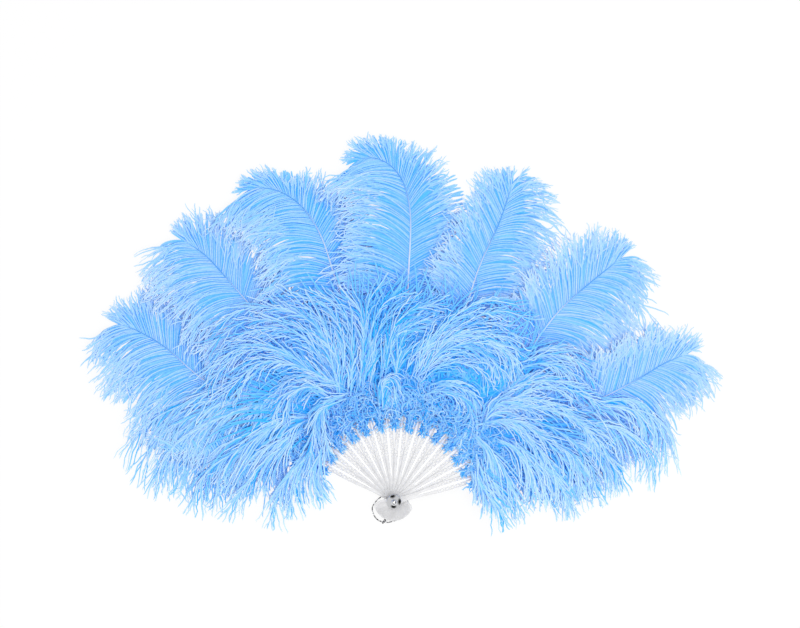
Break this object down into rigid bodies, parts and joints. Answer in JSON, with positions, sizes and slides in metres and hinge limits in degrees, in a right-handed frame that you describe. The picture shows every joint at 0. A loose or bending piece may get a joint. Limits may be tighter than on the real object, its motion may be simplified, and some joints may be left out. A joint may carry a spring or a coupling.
{
  "type": "feather fan",
  "caption": "Open hand fan of pale blue ostrich plumes on pierced white plastic sticks, folding about a bright ball-headed rivet, with a silver wrist cord.",
  "frame": {"origin": "on the rivet's axis, at the flat underside of its back head, on the table the open fan lies on", "axes": "+X across the open fan towards the front guard, +Y from the rivet towards the tall centre plume, +Z along the rivet towards its ball head"},
  "size_m": [0.6685, 0.4252, 0.0409],
  "materials": {
    "stick_plastic": "clear-white pressed plastic, glossy",
    "plume_feather": "soft matte barbs",
    "front_feather": "soft matte barbs",
    "ruff_down": "curly down",
    "linking_thread": "white thread",
    "chrome": "polished",
    "silver_cord": "silver tinsel"
  },
  "bodies": {
    "back_guard_side": {"back_guard": "stick_plastic", "front_feather_1": "front_feather", "ruff_tuft_01": "ruff_down", "linking_thread_01": "linking_thread", "rivet_pin": "chrome", "cup_washer": "chrome", "ball_head": "chrome", "wrist_cord": "silver_cord", "cord_knot": "silver_cord"},
    "stick_02_side": {"inner_stick_02": "stick_plastic", "plume_1": "plume_feather", "ruff_tuft_02": "ruff_down", "linking_thread_02": "linking_thread"},
    "stick_03_side": {"inner_stick_03": "stick_plastic", "front_feather_2": "front_feather", "ruff_tuft_03": "ruff_down", "linking_thread_03": "linking_thread"},
    "stick_04_side": {"inner_stick_04": "stick_plastic", "plume_2": "plume_feather", "ruff_tuft_04": "ruff_down", "linking_thread_04": "linking_thread"},
    "stick_05_side": {"inner_stick_05": "stick_plastic", "front_feather_3": "front_feather", "ruff_tuft_05": "ruff_down", "linking_thread_05": "linking_thread"},
    "stick_06_side": {"inner_stick_06": "stick_plastic", "plume_3": "plume_feather", "ruff_tuft_06": "ruff_down", "linking_thread_06": "linking_thread"},
    "stick_07_side": {"inner_stick_07": "stick_plastic", "plume_4": "plume_feather", "front_feather_4": "front_feather", "ruff_tuft_07": "ruff_down", "linking_thread_07": "linking_thread"},
    "stick_08_side": {"inner_stick_08": "stick_plastic", "plume_5": "plume_feather", "ruff_tuft_08": "ruff_down", "linking_thread_08": "linking_thread"},
    "stick_09_side": {"inner_stick_09": "stick_plastic", "front_feather_5": "front_feather", "ruff_tuft_09": "ruff_down", "linking_thread_09": "linking_thread"},
    "stick_10_side": {"inner_stick_10": "stick_plastic", "plume_6": "plume_feather", "ruff_tuft_10": "ruff_down", "linking_thread_10": "linking_thread"},
    "stick_11_side": {"inner_stick_11": "stick_plastic", "front_feather_6": "front_feather", "ruff_tuft_11": "ruff_down", "linking_thread_11": "linking_thread"},
    "stick_12_side": {"inner_stick_12": "stick_plastic", "plume_7": "plume_feather", "ruff_tuft_12": "ruff_down", "linking_thread_12": "linking_thread"},
    "front_guard_side": {"front_guard": "stick_plastic", "front_feather_7": "front_feather", "ruff_tuft_13": "ruff_down"}
  },
  "joints": [
    {"name": "stick_02_turn", "type": "hinge", "parent": "back_guard_side", "child": "stick_02_side", "pos_m": [0, 0, 0], "axis": [0, 0, 1], "range_deg": [0, 11.14], "deforming": ["plume_1", "ruff_tuft_02", "linking_thread_02"]},
    {"name": "stick_03_turn", "type": "hinge", "parent": "back_guard_side", "child": "stick_03_side", "pos_m": [0, 0, 0], "axis": [0, 0, 1], "range_deg": [0, 22.28], "deforming": ["front_feather_2", "ruff_tuft_03", "linking_thread_03"]},
    {"name": "stick_04_turn", "type": "hinge", "parent": "back_guard_side", "child": "stick_04_side", "pos_m": [0, 0, 0], "axis": [0, 0, 1], "range_deg": [0, 33.43], "deforming": ["plume_2", "ruff_tuft_04", "linking_thread_04"]},
    {"name": "stick_05_turn", "type": "hinge", "parent": "back_guard_side", "child": "stick_05_side", "pos_m": [0, 0, 0], "axis": [0, 0, 1], "range_deg": [0, 44.57], "deforming": ["front_feather_3", "ruff_tuft_05", "linking_thread_05"]},
    {"name": "stick_06_turn", "type": "hinge", "parent": "back_guard_side", "child": "stick_06_side", "pos_m": [0, 0, 0], "axis": [0, 0, 1], "range_deg": [0, 55.71], "deforming": ["plume_3", "ruff_tuft_06", "linking_thread_06"]},
    {"name": "stick_07_turn", "type": "hinge", "parent": "back_guard_side", "child": "stick_07_side", "pos_m": [0, 0, 0], "axis": [0, 0, 1], "range_deg": [0, 66.85], "deforming": ["plume_4", "front_feather_4", "ruff_tuft_07", "linking_thread_07"]},
    {"name": "stick_08_turn", "type": "hinge", "parent": "back_guard_side", "child": "stick_08_side", "pos_m": [0, 0, 0], "axis": [0, 0, 1], "range_deg": [0, 77.99], "deforming": ["plume_5", "ruff_tuft_08", "linking_thread_08"]},
    {"name": "stick_09_turn", "type": "hinge", "parent": "back_guard_side", "child": "stick_09_side", "pos_m": [0, 0, 0], "axis": [0, 0, 1], "range_deg": [0, 89.13], "deforming": ["front_feather_5", "ruff_tuft_09", "linking_thread_09"]},
    {"name": "stick_10_turn", "type": "hinge", "parent": "back_guard_side", "child": "stick_10_side", "pos_m": [0, 0, 0], "axis": [0, 0, 1], "range_deg": [0, 100.28], "deforming": ["plume_6", "ruff_tuft_10", "linking_thread_10"]},
    {"name": "stick_11_turn", "type": "hinge", "parent": "back_guard_side", "child": "stick_11_side", "pos_m": [0, 0, 0], "axis": [0, 0, 1], "range_deg": [0, 111.42], "deforming": ["front_feather_6", "ruff_tuft_11", "linking_thread_11"]},
    {"name": "stick_12_turn", "type": "hinge", "parent": "back_guard_side", "child": "stick_12_side", "pos_m": [0, 0, 0], "axis": [0, 0, 1], "range_deg": [0, 122.56], "deforming": ["plume_7", "ruff_tuft_12", "linking_thread_12"]},
    {"name": "fan_fold", "type": "hinge", "parent": "back_guard_side", "child": "front_guard_side", "pos_m": [0, 0, 0], "axis": [0, 0, 1], "range_deg": [0, 133.7], "deforming": ["front_feather_7", "ruff_tuft_13", "front_feather_1", "ruff_tuft_01", "linking_thread_01"]}
  ],
  "couplings": [
    {"joint": "stick_02_turn", "follows": "fan_fold", "ratio": 0.083333},
    {"joint": "stick_03_turn", "follows": "fan_fold", "ratio": 0.16667},
    {"joint": "stick_04_turn", "follows": "fan_fold", "ratio": 0.25},
    {"joint": "stick_05_turn", "follows": "fan_fold", "ratio": 0.33333},
    {"joint": "stick_06_turn", "follows": "fan_fold", "ratio": 0.41667},
    {"joint": "stick_07_turn", "follows": "fan_fold", "ratio": 0.5},
    {"joint": "stick_08_turn", "follows": "fan_fold", "ratio": 0.58333},
    {"joint": "stick_09_turn", "follows": "fan_fold", "ratio": 0.66667},
    {"joint": "stick_10_turn", "follows": "fan_fold", "ratio": 0.75},
    {"joint": "stick_11_turn", "follows": "fan_fold", "ratio": 0.83333},
    {"joint": "stick_12_turn", "follows": "fan_fold", "ratio": 0.91667}
  ]
}
